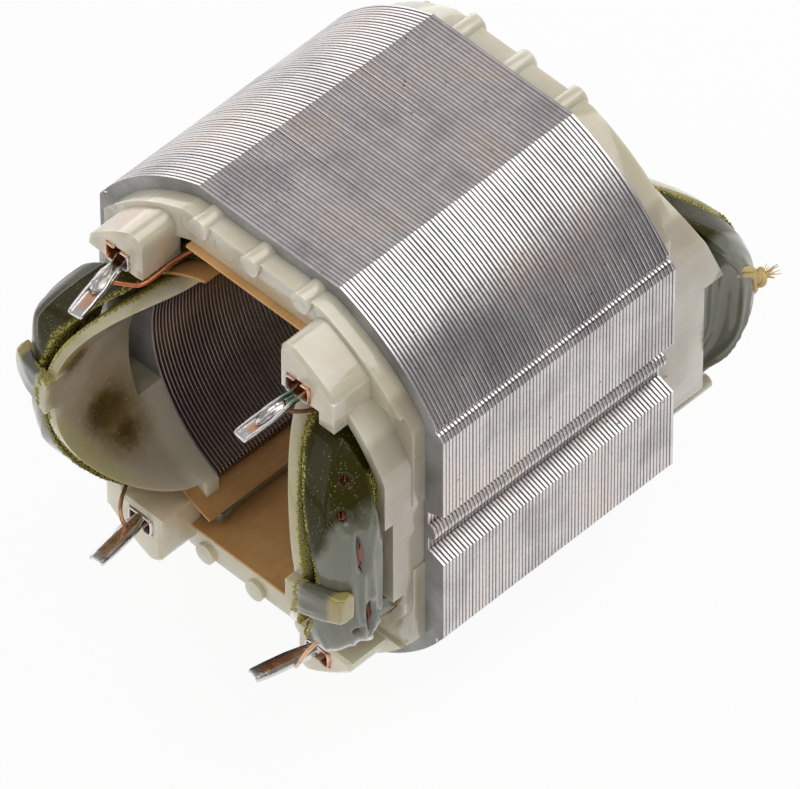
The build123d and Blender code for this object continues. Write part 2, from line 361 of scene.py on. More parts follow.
def lightScene():
    for name, lamp in lamps.items():
        data = bpy.data.lights.new(name, "AREA")
        data.shape = "SQUARE"
        data.size = lamp["size"]
        data.energy = lamp["watts"]
        obj = linked(name, data)
        aim = Vector(lamp["aim"]).normalized()
        obj.location = aim * lamp["distance"]
        obj.rotation_euler = aim.to_track_quat("Z", "Y").to_euler()
    world = bpy.data.worlds.new("studio")
    bpy.context.scene.world = world
    world.use_nodes = True
    tree = world.node_tree
    background = tree.nodes["Background"]
    path = tree.nodes.new("ShaderNodeLightPath")
    toward = coordinate(tree, tree.nodes.new("ShaderNodeTexCoord").outputs["Generated"], "X")
    low, high = worldLook["darkFrom"]
    right = addNode(tree, "ShaderNodeMapRange", {"Value": toward, "From Min": low, "From Max": high})
    sides = mixColour(tree, right.outputs["Result"], worldLook["plain"], worldLook["dark"])
    shade = mixColour(tree, path.outputs["Is Camera Ray"], sides, (1.0, 1.0, 1.0))
    tree.links.new(shade, background.inputs["Color"])


bpy.context.scene.view_settings.view_transform = "Standard"
placeCamera()
makeFloor()
lightScene()
print("camera, floor and light are set")


# materials

surface = {
    "steelBump": 0.012 * mm, "nylonBump": 0.12 * mm, "varnishBump": 0.05 * mm,
    "paperBump": 0.03 * mm, "paperDepth": 0.3 * mm, "metalBump": 0.05 * mm,
    "raggedStain": 2.4 * mm, "raggedHalo": 3.0 * mm,
}


def makeSteel(name, look):
    material, tree, shader, place = startMaterial(name)
    broad = cloud(tree, place, 110, 3)
    fine = cloud(tree, place, 2600, 5, 0.7)
    # the broad tone wanders at random between dark and light steel, and the peach patches are a painted
    # reflection tint
    colour = ramp(tree, broad, [(0.35, look["dark"]), (0.5, look["light"]), (0.65, look["peachReflectionTint"])])
    grime = ramp(tree, fine, [(0.40, look["grime"]), (0.60, 1.0)])
    colour = mixColour(tree, 0.5, colour, grime, "MULTIPLY")
    # dark joints between the sheets
    along = mathNode(tree, "DIVIDE", coordinate(tree, place, "Y"), look["sheet"])
    joint = unsigned(tree, minus(tree, mathNode(tree, "FRACT", along), 0.5))
    colour = painted(tree, colour, between(tree, joint, *look["jointFade"]), look["joint"], 0.9, "MULTIPLY")
    bore = between(tree, distanceFromAxis(tree, place), *look["boreFade"])
    colour = painted(tree, colour, bore, look["bore"], blend="MULTIPLY")
    specks = ramp(tree, cells(tree, place, 950), [(0.10, 1.0), (0.15, 0.0)])
    sparse = ramp(tree, cloud(tree, place, 420, 2), [(0.57, 0.0), (0.62, 1.0)])
    colour = painted(tree, colour, times(tree, specks, sparse), look["dust"])
    # the end faces are duller, with crumbs of dirt
    end = between(tree, unsigned(tree, coordinate(tree, place, "Y")), *look["endFade"])
    dirt = ramp(tree, cloud(tree, place, 3200, 4, 0.8), [(0.56, 0.0), (0.66, 1.0)])
    face = ramp(tree, cloud(tree, place, 150, 4), [(0.35, look["endDark"]), (0.7, look["endLight"])])
    colour = painted(tree, colour, end, painted(tree, face, dirt, look["dust"]))
    setShader(tree, shader, {
        "Base Color": colour,
        "Metallic": minus(tree, 1, times(tree, end, 0.55)),
        "Roughness": plus(tree, times(tree, end, 0.18), look["roughness"]),
    })
    addBump(tree, shader, fine, surface["steelBump"])
    return material


def makeNylon(name, look):
    material, tree, shader, place = startMaterial(name)
    broad = cloud(tree, place, 130, 2, 0.45)
    fine = cloud(tree, place, 1500, 4, 0.65)
    radius = distanceFromAxis(tree, place)
    across, forward, height = [unsigned(tree, coordinate(tree, place, axis)) for axis in "XYZ"]
    colour = ramp(tree, broad, [(0.36, look["milk"]), (0.66, look["amber"])])
    # painted shade: the thin flanges and walls are painted darker, as if the dark coil were seen through them
    flange = between(tree, radius, *look["flangeFade"])
    flange = times(tree, flange, between(tree, forward, *look["flangeStart"]))
    wall = times(tree, between(tree, across, *look["wallStart"]), 0.9)
    thin = mathNode(tree, "MAXIMUM", flange, wall)
    shade = ramp(tree, broad, [(0.36, look["thinLight"]), (0.66, look["thinDark"])])
    colour = painted(tree, colour, thin, shade, look["show"])
    # light gathers in the edges, and comes through the low sockets from the pale floor
    depth = addNode(tree, "ShaderNodeAmbientOcclusion", {"Distance": look["edgeReach"]},
                    inside=True, only_local=True, samples=8)
    edge = between(tree, minus(tree, 1, depth.outputs["AO"]), 0.2, 0.85)
    edge = times(tree, edge, minus(tree, 1, times(tree, thin, 0.7)))
    colour = painted(tree, colour, edge, look["edge"], 0.85)
    low = between(tree, coordinate(tree, place, "Z"), *look["lowSockets"])
    colour = painted(tree, colour, low, look["litBelow"], 0.65)
    # bare clips glow through the sockets
    for middle in look["sockets"]:
        colour = painted(tree, colour, spot(tree, place, middle, *look["glowReach"]), look["glow"], 0.65)
    # resin that ran behind the flanges
    grain = ramp(tree, cloud(tree, place, 3400, 5, 0.75), [(0.42, 1.0), (0.66, 0.78)])
    for middle, size in look["stains"]:
        halo = spot(tree, place, middle, size * 0.5, size * 1.6, surface["raggedHalo"])
        colour = painted(tree, colour, halo, look["stain"], 0.6)
        stain = spot(tree, place, middle, size * 0.4, size * 0.9, surface["raggedStain"])
        colour = painted(tree, colour, times(tree, stain, grain), look["resin"])
    # yellowed rims of the flanges, and the hooks that reach over the coils
    rim = between(tree, plus(tree, times(tree, height, 0.55), forward), *look["rimBand"])
    colour = painted(tree, colour, times(tree, rim, flange), look["rim"], 0.5)
    hook = between(tree, across, *look["hookAcross"])
    hook = times(tree, hook, between(tree, forward, *look["hookForward"]))
    colour = painted(tree, colour, hook, look["hook"], 0.92)
    lip = times(tree, hook, between(tree, across, *look["lipAcross"]))
    colour = painted(tree, colour, lip, look["lip"], 0.85)
    dust = ramp(tree, cells(tree, place, 1500), [(0.10, 1.0), (0.16, 0.0)])
    dust = times(tree, dust, ramp(tree, fine, [(0.5, 0.0), (0.6, 0.8)]))
    colour = painted(tree, colour, times(tree, dust, thin), look["dust"])
    setShader(tree, shader, {
        "Base Color": colour,
        "Subsurface Weight": look["depth"],
        "Subsurface Radius": look["radius"],
        "Subsurface Scale": look["scale"],
        "Roughness": look["roughness"],
        "IOR": 1.5,
        "Transmission Weight": look["clear"],
        "Coat Weight": 1.0,
        "Coat Roughness": 0.07,
    })
    # round marks of the mould's pins, and a slightly wavy skin
    skin = times(tree, cloud(tree, place, 600, 3), 0.6)
    flow = cloud(tree, stretched(tree, place, (1, 0.12, 1)), 1100, 3, 0.6)
    skin = plus(tree, skin, times(tree, flow, 0.7))
    for middle in look["pinMarks"]:
        skin = plus(tree, skin, spot(tree, place, middle, *look["pinFade"]))
    addBump(tree, shader, skin, surface["nylonBump"])
    return material


def makeVarnish(name, look):
    material, tree, shader, place = startMaterial(name)
    broad = cloud(tree, place, 130, 3, 0.5)
    film = plus(tree, readAttribute(tree, "film"), times(tree, broad, 0.45))
    film = between(tree, film, *look["filmFade"])
    colour = mixColour(tree, film, look["olive"], look["grey"])
    dots = ramp(tree, cells(tree, place, 2600), [(0.13, 1.0), (0.24, 0.0)])
    sparse = ramp(tree, cloud(tree, place, 700, 2), [(0.38, 0.0), (0.55, 0.8)])
    colour = painted(tree, colour, times(tree, dots, sparse), look["dots"])
    # copper strands in the slits, with painted shade between them in the near-black gap colour
    strand = ramp(tree, cloud(tree, stretched(tree, place, (1, 1, 0.12)), 2600, 2),
                  [(0.50, look["gap"]), (0.56, look["copper"])])
    colour = painted(tree, colour, between(tree, readAttribute(tree, "crack"), *look["crackFade"]), strand)
    grain = ramp(tree, cells(tree, place, 4200), [(0.25, look["crustLight"]), (0.55, look["crustDark"])])
    colour = painted(tree, colour, readAttribute(tree, "crust"), grain, 0.9)
    setShader(tree, shader, {
        "Base Color": colour,
        "Roughness": look["roughness"],
        "Specular IOR Level": 0.05,
        "Coat Weight": plus(tree, times(tree, film, 0.7), 0.3),
        "Coat Roughness": 0.07,
        "Coat IOR": 1.55,
    })
    addBump(tree, shader, cloud(tree, place, 420, 2), surface["varnishBump"])
    return material


def makePaper(name, look):
    material, tree, shader, place = startMaterial(name)
    fibres = cloud(tree, stretched(tree, place, (1, 0.25, 1)), 1800, 6, 0.7)
    colour = ramp(tree, cloud(tree, place, 90, 3), [(0.35, look["light"]), (0.68, look["dark"])])
    colour = mixColour(tree, 0.5, colour, ramp(tree, fibres, [(0.35, 0.75), (0.6, 1.0)]), "MULTIPLY")
    setShader(tree, shader, {
        "Base Color": colour,
        "Roughness": 0.6,
        "Subsurface Weight": 0.15,
        "Subsurface Scale": surface["paperDepth"],
    })
    addBump(tree, shader, fibres, surface["paperBump"])
    return material


def makeMetal(name, look):
    material, tree, shader, place = startMaterial(name)
    patch = cloud(tree, place, look["patch"], 4, 0.6)
    colour = ramp(tree, patch, [(0.42, look["light"]), (0.60, look["dark"])])
    if "tin" in look:
        tin = plus(tree, readAttribute(tree, "tin"), times(tree, patch, 0.5))
        colour = mixColour(tree, between(tree, tin, *look["tinFade"]), colour, look["tin"])
    for middle, size in look.get("verdigris", []):
        crust = spot(tree, place, middle, size * 0.4, size, surface["raggedStain"])
        colour = painted(tree, colour, crust, look["green"], 0.85)
    setShader(tree, shader, {
        "Base Color": colour,
        "Metallic": look["metallic"],
        "Roughness": ramp(tree, patch, [(0.4, look["smooth"]), (0.6, look["rough"])]),
    })
    addBump(tree, shader, cloud(tree, place, 1300, 4), surface["metalBump"])
    return material


steelLook = {
    "sheet": 0.5 * mm, "joint": (0.20, 0.17, 0.16), "jointFade": (0.26, 0.44),
    "grime": (0.74, 0.71, 0.68),
    "roughness": 0.27, "light": (0.74, 0.72, 0.72), "dark": (0.58, 0.55, 0.565),
    # the peach colour is a painted reflection tint
    "peachReflectionTint": (0.80, 0.73, 0.69),
    "bore": (0.36, 0.31, 0.28), "dust": (0.26, 0.19, 0.07),
    "boreFade": (20.5 * mm, 19.0 * mm), "endFade": (17.46 * mm, 17.49 * mm),
    "endDark": (0.22, 0.215, 0.20), "endLight": (0.46, 0.46, 0.46),
}
nylonLook = {
    "roughness": 0.2, "depth": 0.6, "radius": (1.0, 0.8, 0.45), "scale": 0.8 * mm, "show": 0.85,
    "clear": 0.12, "edgeReach": 1.6 * mm, "edge": (0.97, 0.93, 0.76), "litBelow": (0.95, 0.90, 0.66),
    "milk": (0.77, 0.73, 0.59), "amber": (0.66, 0.60, 0.43), "stain": (0.27, 0.18, 0.04),
    "thinLight": (0.50, 0.43, 0.325), "thinDark": (0.42, 0.35, 0.25), "dust": (0.80, 0.74, 0.45),
    "glow": (0.84, 0.60, 0.38), "lip": (0.48, 0.39, 0.10), "resin": (0.09, 0.058, 0.004),
    "hook": (0.105, 0.11, 0.065), "rim": (0.56, 0.53, 0.18),
    "sockets": [(12.1 * mm, -22 * mm, 19.9 * mm), (-14.6 * mm, -22 * mm, 19.9 * mm),
                (-12.1 * mm, -22 * mm, -19.9 * mm), (14.6 * mm, -22 * mm, -19.9 * mm)],
    "stains": [((-18.6 * mm, -25.4 * mm, -6.6 * mm), 5.0 * mm), ((-16.5 * mm, -24 * mm, -10 * mm), 3.0 * mm),
               ((18.6 * mm, -25.4 * mm, 5.0 * mm), 3.4 * mm), ((-18.0 * mm, -29.5 * mm, 5.0 * mm), 2.6 * mm)],
    "flangeFade": (20.2 * mm, 19.4 * mm), "flangeStart": (19.0 * mm, 21.5 * mm),
    "wallStart": (19.6 * mm, 20.6 * mm), "lowSockets": (-15 * mm, -18 * mm),
    "glowReach": (2.4 * mm, 5.0 * mm, 3.8 * mm), "rimBand": (31.6 * mm, 34.4 * mm),
    "hookAcross": (19.2 * mm, 20.0 * mm), "hookForward": (28.5 * mm, 29.5 * mm),
    "lipAcross": (22.5 * mm, 23.3 * mm), "pinFade": (1.4 * mm, 1.55 * mm),
    "pinMarks": [(-9.1 * mm, -19.9 * mm, 24.6 * mm), (-4.1 * mm, -19.9 * mm, 24.6 * mm),
                 (7.7 * mm, -19.9 * mm, 24.6 * mm), (4.1 * mm, 20.7 * mm, 24.6 * mm)],
}
varnishLook = {
    "olive": (0.033, 0.029, 0.002), "grey": (0.175, 0.182, 0.132), "dots": (0.30, 0.27, 0.09),
    "gap": (0.006, 0.004, 0.003), "copper": (0.40, 0.085, 0.025), "roughness": 0.25,
    "filmFade": (0.44, 0.62), "crackFade": (0.12, 0.3),
    "crustLight": (0.44, 0.39, 0.09), "crustDark": (0.11, 0.095, 0.012),
}
residueLook = {"light": (0.60, 0.54, 0.14), "dark": (0.30, 0.26, 0.04)}
paperLook = {"light": (0.80, 0.47, 0.18), "dark": (0.60, 0.31, 0.10)}
stripLook = {"light": (0.70, 0.39, 0.14), "dark": (0.48, 0.25, 0.08)}
copperLook = {
    "metallic": 1.0, "patch": 520, "smooth": 0.22, "rough": 0.42,
    "light": (0.88, 0.58, 0.41), "dark": (0.66, 0.36, 0.23), "tin": (0.72, 0.70, 0.70),
    "tinFade": (0.62, 0.8),
    "green": (0.12, 0.24, 0.16),
    "verdigris": [((11.9 * mm, -26.2 * mm, 19.6 * mm), 1.6 * mm),
                  ((-14.4 * mm, -25.8 * mm, 19.4 * mm), 0.9 * mm)],
}
solderLook = {
    "metallic": 1.0, "patch": 420, "smooth": 0.16, "rough": 0.36,
    "light": (0.74, 0.73, 0.73), "dark": (0.42, 0.39, 0.34),
    "green": (0.16, 0.27, 0.18), "verdigris": [((11.9 * mm, -26.4 * mm, 19.6 * mm), 1.5 * mm)],
}
enamelLook = {
    "metallic": 0.55, "patch": 300, "smooth": 0.22, "rough": 0.35,
    "light": (0.62, 0.22, 0.09), "dark": (0.42, 0.11, 0.05),
}
bareWireLook = {
    "metallic": 0.9, "patch": 300, "smooth": 0.22, "rough": 0.38,
    "light": (0.70, 0.42, 0.27), "dark": (0.42, 0.22, 0.13),
}
cordLook = {"light": (0.85, 0.68, 0.32), "dark": (0.62, 0.45, 0.16)}

steel = makeSteel("sheetSteel", steelLook)
nylon = makeNylon("milkyNylon", nylonLook)
varnish = makeVarnish("coilVarnish", varnishLook)
paper = makePaper("kraftPaper", paperLook)
stripPaper = makePaper("closingStripPaper", stripLook)
copper = makeMetal("tinnedCopper", copperLook)
solder = makeMetal("flatSolder", solderLook)
enamel = makeMetal("wireEnamel", enamelLook)
bareWire = makeMetal("bareWire", bareWireLook)
cord = makePaper("lacingCord", cordLook)
residue = makePaper("resinCrumbs", residueLook)
print("materials are made")


# lamination stack

stack = {
    "sheets": 70,
    "faceReach": 0.01 * mm,
    "edgeInset": 0.09 * mm,
    "edgeWidth": 0.12 * mm,
    "arcStep": 1.15 * mm,
    "play": 0.0005,
    "tilt": 0.0006,
    "seed": 7,
}


def outlineRings():
    # the edges of the CAD stack's front face, each a closed ring of points
    bm = mergedCopy("lamination_stack")
    low = boxOf("lamination_stack")[0].y
    away = [f for f in bm.faces if abs(f.calc_center_median().y - low) > stack["faceReach"]]
    bmesh.ops.delete(bm, geom=away, context="FACES")
    bm.verts.index_update()
    follow = {}
    for edge in bm.edges:
        if len(edge.link_faces) == 1:
            loop = next(l for l in edge.link_faces[0].loops if l.edge == edge)
            follow[loop.vert.index] = loop.link_loop_next.vert.index
    points = [v.co.copy() for v in bm.verts]
    bm.free()
    rings = []
    while follow:
        start, step = follow.popitem()
        ring = [start]
        while step != start:
            ring.append(step)
            step = follow.pop(step)
        rings.append([points[i] for i in ring])
    return rings


def thinned(ring, shortest):
    # leaves out points of a fine arc, and keeps every real corner
    kept = [ring[0]]
    for point, after in zip(ring[1:], ring[2:] + ring[:1]):
        step = point - kept[-1]
        if step.length > shortest or step.angle(after - point, 0) > 0.3:
            kept.append(point)
    return kept


def drawnIn(ring):
    # how each corner moves when the ring is drawn in by one
    pulls = []
    forward = Vector((0, -1, 0))
    for before, point, after in zip(ring[-1:] + ring[:-1], ring, ring[1:] + ring[:1]):
        first = forward.cross((point - before).normalized())
        second = forward.cross((after - point).normalized())
        middle = (first + second).normalized()
        pulls.append(middle / max(0.4, middle.dot(first)))
    return pulls


def sheetMesh():
    low, high = boxOf("lamination_stack")
    thickness = (high.y - low.y) / stack["sheets"]
    half = thickness / 2
    levels = [(-half, 1), (-half + stack["edgeWidth"], 0), (half - stack["edgeWidth"], 0), (half, 1)]
    bm = bmesh.new()
    front = []
    opposite = {}
    for ring in outlineRings():
        ring = thinned(ring, stack["arcStep"])
        pulls = drawnIn(ring)
        rows = []
        for height, drawn in levels:
            inset = stack["edgeInset"] * drawn
            rows.append([bm.verts.new((p.x + d.x * inset, height, p.z + d.z * inset))
                         for p, d in zip(ring, pulls)])
        for k in range(len(ring)):
            n = (k + 1) % len(ring)
            for near, far in zip(rows, rows[1:]):
                bm.faces.new((near[n], near[k], far[k], far[n]))
            front.append(bm.edges.get((rows[0][k], rows[0][n])))
        opposite.update(zip(rows[0], rows[-1]))
    cap = bmesh.ops.triangle_fill(bm, use_beauty=True, edges=front, normal=(0, -1, 0))
    for face in [g for g in cap["geom"] if isinstance(g, bmesh.types.BMFace)]:
        bm.faces.new([opposite[v] for v in reversed(face.verts)])
    bmesh.ops.recalc_face_normals(bm, faces=bm.faces)
    return bm, thickness


def sheetStackTree():
    tree, given, result = newTree("sheetStack", [
        ("Sheet Count", "Int"), ("Sheet Pitch", "Float"), ("Edge Play", "Float"),
        ("Sheet Tilt", "Float"), ("Seed", "Int"), ("Finish", "Material"),
    ])
    count, pitch = given.outputs["Sheet Count"], given.outputs["Sheet Pitch"]
    length = times(tree, minus(tree, count, 1), pitch)
    line = addNode(tree, "GeometryNodeMeshLine", {
        "Count": count,
        "Start Location": vectorOf(tree, {"Y": times(tree, length, -0.5)}),
        "Offset": vectorOf(tree, {"Y": pitch}),
    }, mode="OFFSET")
    size = plus(tree, randomNumber(tree, given, "Edge Play", 0), 1)
    place = addNode(tree, "GeometryNodeInstanceOnPoints", {
        "Points": line.outputs["Mesh"],
        "Instance": given.outputs["Geometry"],
        "Scale": vectorOf(tree, {"X": size, "Y": 1, "Z": size}),
        "Rotation": vectorOf(tree, {
            "X": randomNumber(tree, given, "Sheet Tilt", 3), "Z": randomNumber(tree, given, "Sheet Tilt", 5),
        }),
    })
    return endRealised(tree, given, result, place.outputs[0])


def vectorOf(tree, parts):
    return addNode(tree, "ShaderNodeCombineXYZ", parts).outputs[0]


def randomNumber(tree, given, label, shift):
    # a number between minus and plus the named input
    reach = given.outputs[label]
    return addNode(tree, "FunctionNodeRandomValue", {
        2: times(tree, reach, -1), 3: reach, "Seed": plus(tree, given.outputs["Seed"], shift),
    }, data_type="FLOAT").outputs[1]


def makeStack():
    bm, thickness = sheetMesh()
    print("one sheet has", len(bm.faces), "faces")
    obj = meshPiece("laminationSheets", bm, steel, smooth=False)
    tree = sheetStackTree()
    runTree(obj, tree, {
        "Sheet Count": stack["sheets"],
        "Sheet Pitch": thickness,
        "Edge Play": stack["play"],
        "Sheet Tilt": stack["tilt"],
        "Seed": stack["seed"],
        "Finish": steel,
    })
    obj.data.shade_smooth()
    obj.data.set_sharp_from_angle(angle=math.radians(14))
    print("the stack has", len(obj.data.polygons), "faces")
    return finish(obj, "stack_steel", "lamination_stack")


makeStack()
print("lamination stack is built")


# moulded frames

moulding = {
    "edgeRadius": 0.3 * mm,
    "sharp": math.radians(28),
    "armStart": 19.8 * mm,
    "armBend": 1.9 * mm,
    "rearTaper": 0.24,
    "slump": 6,
    "armNarrowing": 0.26,
    "armLength": 4.4 * mm,
    "armFront": -30.5 * mm,
    "armMiddle": 1.2 * mm,
    "hookFront": -30.2 * mm,
    "hookStart": 19.0 * mm,
    "hookLoose": 20.4 * mm,
    "longest": 0.7 * mm,
    "rearFace": 17.5 * mm,
    "flangeRadius": 20.0 * mm,
    "cornerHeight": 13.0 * mm,
}


def slumpHooks(obj):
    # the hooks' corners are rounded by dividing and relaxing them
    def onHook(co, start):
        return co.y < moulding["hookFront"] and abs(co.x) > start

    bm = bmesh.new()
    bm.from_mesh(obj.data)
    arms = [f for f in bm.faces if all(onHook(v.co, moulding["hookStart"]) for v in f.verts)]
    if arms:
        bmesh.ops.triangulate(bm, faces=arms)
        edges = [e for e in bm.edges if all(onHook(v.co, moulding["hookStart"]) for v in e.verts)]
        long = [e for e in edges if e.calc_length() > moulding["longest"]]
        bmesh.ops.subdivide_edges(bm, edges=long, cuts=4, use_grid_fill=True)
        bmesh.ops.triangulate(bm, faces=[f for f in bm.faces if len(f.verts) > 4])
        loose = [v for v in bm.verts if onHook(v.co, moulding["hookLoose"])]
        for _ in range(moulding["slump"]):
            bmesh.ops.smooth_vert(
                bm, verts=loose, factor=0.5, use_axis_x=True, use_axis_y=True, use_axis_z=True)
    bm.to_mesh(obj.data)
    bm.free()
    obj.data.shade_smooth()
    obj.data.set_sharp_from_angle(angle=moulding["sharp"])


def makeMoulding(name, node):
    bm = mergedCopy(node)
    bmesh.ops.dissolve_limit(
        bm, angle_limit=math.radians(0.5), verts=bm.verts, edges=bm.edges, delimit=set())
    obj = meshPiece(name, bm, nylon)
    bevel = obj.modifiers.new("softEdges", "BEVEL")
    bevel.width = moulding["edgeRadius"]
    bevel.segments = 3
    bevel.limit_method = "ANGLE"
    bevel.angle_limit = moulding["sharp"]
    bevel.harden_normals = False
    bevel.use_clamp_overlap = True
    settle(obj)
    slumpHooks(obj)
    for vert in obj.data.vertices:
        out = (abs(vert.co.x) - moulding["armStart"]) / moulding["armLength"]
        if out > 0 and vert.co.y < moulding["armFront"]:
            middle = math.copysign(moulding["armMiddle"], -vert.co.x)
            vert.co.y += moulding["armBend"] * out
            vert.co.z = middle + (vert.co.z - middle) * (1 - moulding["armNarrowing"] * out)
        rear = vert.co.y - moulding["rearFace"]
        if rear > 0 and math.hypot(vert.co.x, vert.co.z) < moulding["flangeRadius"]:
            away = min(1.2, abs(vert.co.z) / moulding["cornerHeight"]) ** 2
            vert.co.y -= rear * moulding["rearTaper"] * away
    return finish(obj, "frame_nylon", node)


mouldings = {
    -1: makeMoulding("frontMoulding", "front_end_frame"),
    1: makeMoulding("rearMoulding", "rear_end_frame"),
}
print("end frames are moulded")


# field coils

coil = {
    "voxel": 0.27 * mm,
    "halfHeight": 16.9 * mm,
    "cornerRadius": 13.6 * mm,
    "frontEnd": -17.5 * mm,
    "rearEnd": 17.5 * mm,
    "frontReach": 14.2 * mm,
    "rearReach": 16.2 * mm,
    "relax": 26,
    "melt": 3,
    "crown": 6.5 * mm,
    "solidWidth": 23.7 * mm,
    "fullWidth": 24.6 * mm,
    "innerRadius": 19.8 * mm,
    "thinning": 2.0 * mm,
    "cornerHeight": 13.0 * mm,
    "slotHalf": 17.4 * mm,
    "outerStart": 20.5 * mm,
    "outerFade": 2.0 * mm,
    "edgeFade": 2.4 * mm,
    "crownDrop": {-1: 0.5 * mm, 1: 1.3 * mm},
    "taper": {-1: -0.05, 1: 0.42},  # how far the front and rear turns draw in above and below
    "oliveDown": {1: 7.5 * mm, -1: 3.0 * mm},
    "ridge": 0.5 * mm,
    "ridgePitch": 1.7 * mm,
    "swell": 0.24 * mm,
    "slitDepth": 1.1 * mm,
    "slits": [(-28.0 * mm, 5.4 * mm, 3.4 * mm, 0.55 * mm), (-23.6 * mm, 0.3 * mm, 2.1 * mm, 0.55 * mm),
              (-26.9 * mm, -5.2 * mm, 3.0 * mm, 0.5 * mm), (-28.7 * mm, 10.4 * mm, 0.7 * mm, 0.6 * mm),
              (-26.6 * mm, 13.2 * mm, 0.6 * mm, 0.5 * mm), (-28.6 * mm, -6.2 * mm, 0.55 * mm, 0.5 * mm)],
}
crust = {
    "start": 2.0 * mm,
    "rim": 21.15 * mm,
    "rimFade": 0.8 * mm,
    "wall": 20.6 * mm,
    "wallHigh": 6.6,
    "wallLow": 3.9,
    "wallTurn": 4 * mm,
    "wallFade": 0.9 * mm,
    "ragged": 0.6,
}


def outlineDepth(point):
    # how far a point of the end turns lies inside their rounded outline
    front = point.y < 0
    base = coil["frontEnd"] - point.y if front else point.y - coil["rearEnd"]
    reach = coil["frontReach"] if front else coil["rearReach"]
    radius = coil["cornerRadius"]
    across = abs(point.z) - (coil["halfHeight"] - radius)
    along = base - (reach - radius)
    if across > 0 and along > 0:
        return radius - math.hypot(across, along)
    return radius - max(across, along)


def rounded(p, inside):
    # the wound bundle is fullest at its middle and thins towards its outline and its two corners
    inner = math.sqrt(max(0.0, coil["innerRadius"] ** 2 - p.z * p.z))
    part = clamped((abs(p.x) - inner) / (coil["solidWidth"] - inner))
    share = clamped(inside / coil["crown"])
    away = min(1.2, abs(p.z) / coil["cornerHeight"]) ** 2
    end = 1 if p.y > 0 else -1
    full = coil["fullWidth"] - coil["thinning"] * (1 - math.sqrt(1 - (1 - share) ** 2))
    full -= coil["crownDrop"][end] * away
    start = coil["rearEnd"] if p.y > 0 else coil["frontEnd"]
    y = start + (p.y - start) * (1 - coil["taper"][end] * (0.5 + 0.5 * part) * away)
    x = abs(p.x) if part == 0 else inner + part * (full - inner)
    return Vector((math.copysign(x, p.x), y, p.z))


def slitDepth(p, side):
    # splits in the varnish, each a place, its half length along z and its half width along y
    deepest = 0.0
    for y, z, length, width in coil["slits"]:
        if p.x * side > 0 and p.y * side < 0:
            away = math.hypot((p.y - y * side) / width, (p.z - z * side) / length)
            deepest = max(deepest, 1 - away)
    return deepest


def crustShare(p, side):
    # resin crust along the flange, and along the outer wall at the front
    reach = abs(p.y) - coil["rearEnd"]
    if reach < crust["start"]:
        return 0.0
    patchy = crust["ragged"] * noise.noise(p * 260 + Vector((side, 0, 4)))
    share = (crust["rim"] - math.hypot(p.x, p.z)) / crust["rimFade"] + patchy
    if p.y < 0 and abs(p.x) > crust["wall"]:
        wall = crust["wallHigh"] if p.z * side > crust["wallTurn"] else crust["wallLow"]
        share = max(share, (wall * mm - reach) / crust["wallFade"] + patchy)
    return clamped(share)


def shapeCoil(obj, side):
    # all normals are read before any corner moves
    normals = [vert.normal.copy() for vert in obj.data.vertices]
    places = []
    kept = {"crack": [], "film": [], "crust": []}
    for vert, out in zip(obj.data.vertices, normals):
        inSlot = abs(vert.co.y) < coil["slotHalf"]
        inside = outlineDepth(vert.co)
        p = vert.co if inSlot else rounded(vert.co, inside)
        outer = clamped((abs(p.x) - coil["outerStart"]) / coil["outerFade"])
        # long folds follow the turns, and are strongest low on the outside
        drift = noise.noise(Vector((p.x * 60, p.y * 60, p.z * 60 + side * 9)))
        depth = inside / coil["ridgePitch"]
        line = noise.noise(Vector((depth * 1.3 + drift * 0.9, p.z * 40, side * 4.0 + p.x * 90)))
        fold = 1 - min(1.0, abs(line) * 3.2)
        low = clamped(0.75 - p.z * 60, low=0.1)
        swell = noise.noise(p * 150 + Vector((side * 3.0, 5, 1)))
        push = fold ** 2 * coil["ridge"] * (0.15 + 0.85 * outer * low) + swell * coil["swell"]
        push *= clamped(inside / coil["edgeFade"], low=0.15)
        crack = slitDepth(p, side)
        push -= coil["slitDepth"] * min(1.0, crack * 2.5)
        rise = (push - coil["ridge"] * 0.6) * (0.3 if inSlot else 1.0)
        places.extend(p + out * rise)
        kept["crack"].append(crack)
        kept["film"].append(0.3 + (coil["oliveDown"][side] - p.z) * 45 + 0.25 * (outer - 0.5))
        kept["crust"].append(crustShare(p, side))
    obj.data.vertices.foreach_set("co", places)
    for name, values in kept.items():
        storeValues(obj.data, name, values)
    obj.data.update()


def smooth(obj, factor, rounds):
    modifier = obj.modifiers.new("smooth", "SMOOTH")
    modifier.factor = factor
    modifier.iterations = rounds


def makeCoil(name, node, side):
    obj = meshPiece(name, mergedCopy(node), varnish)
    remesh = obj.modifiers.new("skin", "REMESH")
    remesh.mode = "VOXEL"
    remesh.voxel_size = coil["voxel"]
    smooth(obj, 0.6, coil["relax"])
    settle(obj)
    shapeCoil(obj, side)
    smooth(obj, 0.5, coil["melt"])
    settle(obj)
    obj.data.shade_smooth()
    coatWith(obj.data, varnish)
    return finish(obj, "coil_varnish", node)


coils = {
    1: makeCoil("rightCoil", "right_field_coil", 1),
    -1: makeCoil("leftCoil", "left_field_coil", -1),
}
print("coils are wound")


# crumbs of resin along the coils' edges

crumbs = {
    "density": 1.33e7, "size": 0.122 * mm, "seed": 11, "spread": (0.35, 1.25),
    "gapDensity": 2.4e7, "gapSize": 0.15 * mm,
    "hiddenRadius": 20.0 * mm, "hiddenDepth": 1.2 * mm, "leastCrust": 0.45,
    "gapRadius": (19.05 * mm, 19.5 * mm), "gapStart": 19.5 * mm,
    "gapDepth": 1.9, "gapRagged": 1.6, "longest": 1.2 * mm,
}


